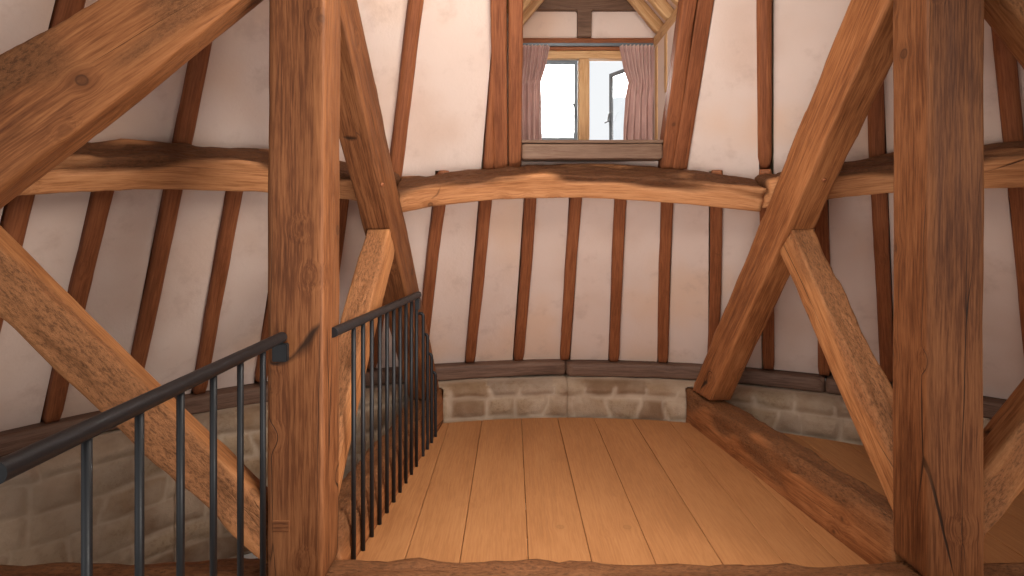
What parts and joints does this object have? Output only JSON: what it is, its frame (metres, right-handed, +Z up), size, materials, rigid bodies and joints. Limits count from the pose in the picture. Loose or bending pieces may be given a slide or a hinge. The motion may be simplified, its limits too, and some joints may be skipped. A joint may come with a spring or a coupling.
{
  "type": "roof room of a round cottage, open half, with dormer",
  "caption": "Half of a round cottage's roof room: stone wall head, oak posts and raking frames, curved purlins, plastered rafters, thatch, dormer and iron railing.",
  "frame": {"origin": "middle of the part's width and depth, at the foot of the stone wall", "axes": "+Z up, +Y from the open side towards the dormer, +X to the right seen from the open side"},
  "size_m": [7.3612, 3.7656, 7.1313],
  "materials": {
    "stone": "rough lime-washed rubble, warm grey and sand",
    "lime_plaster": "matt lime plaster, warm pinkish white",
    "thatch": "weathered straw",
    "black_iron": "satin black paint",
    "grey_metal": "dull grey",
    "glass": "clear",
    "curtain_cloth": "dusky pink woven cloth",
    "oak_boards": "worn satin oak boards",
    "new_oak": "pale planed timber",
    "sawn_oak": "sawn oak with shakes and knots",
    "old_oak": "dark old oak with rough edges"
  },
  "bodies": {
    "root": {"back_ties": "old_oak", "casement_left": "grey_metal", "casement_right": "grey_metal", "cross_tie": "old_oak", "crown_block": "old_oak", "curtain_left": "curtain_cloth", "curtain_right": "curtain_cloth", "curtain_track": "grey_metal", "dormer_apron": "new_oak", "dormer_ceiling": "lime_plaster", "dormer_cheeks": "lime_plaster", "dormer_eaves_plates": "new_oak", "dormer_head": "old_oak", "dormer_rafters_left": "new_oak", "dormer_rafters_right": "new_oak", "dormer_sill": "old_oak", "dormer_thatch": "thatch", "dormer_trimmers": "old_oak", "floor_boards": "oak_boards", "floor_joists": "old_oak", "front_ties": "old_oak", "gable_collar": "old_oak", "gable_wall": "lime_plaster", "jack_rafters": "old_oak", "long_rafters": "old_oak", "plaster_panels": "lime_plaster", "post_left": "sawn_oak", "post_right": "sawn_oak", "principal_back_left": "sawn_oak", "principal_back_right": "sawn_oak", "principal_left": "sawn_oak", "principal_right": "sawn_oak", "purlin_back": "old_oak", "purlins_left": "old_oak", "purlins_right": "old_oak", "railing_back": "black_iron", "railing_front": "black_iron", "struts": "sawn_oak", "thatch_left": "thatch", "thatch_middle": "thatch", "thatch_right": "thatch", "top_beam": "sawn_oak", "top_rails": "sawn_oak", "wall_back_left": "stone", "wall_back_right": "stone", "wall_left": "stone", "wall_plate": "old_oak", "wall_right": "stone", "window_board": "new_oak", "window_frame": "old_oak", "window_glass": "glass"}
  },
  "joints": []
}
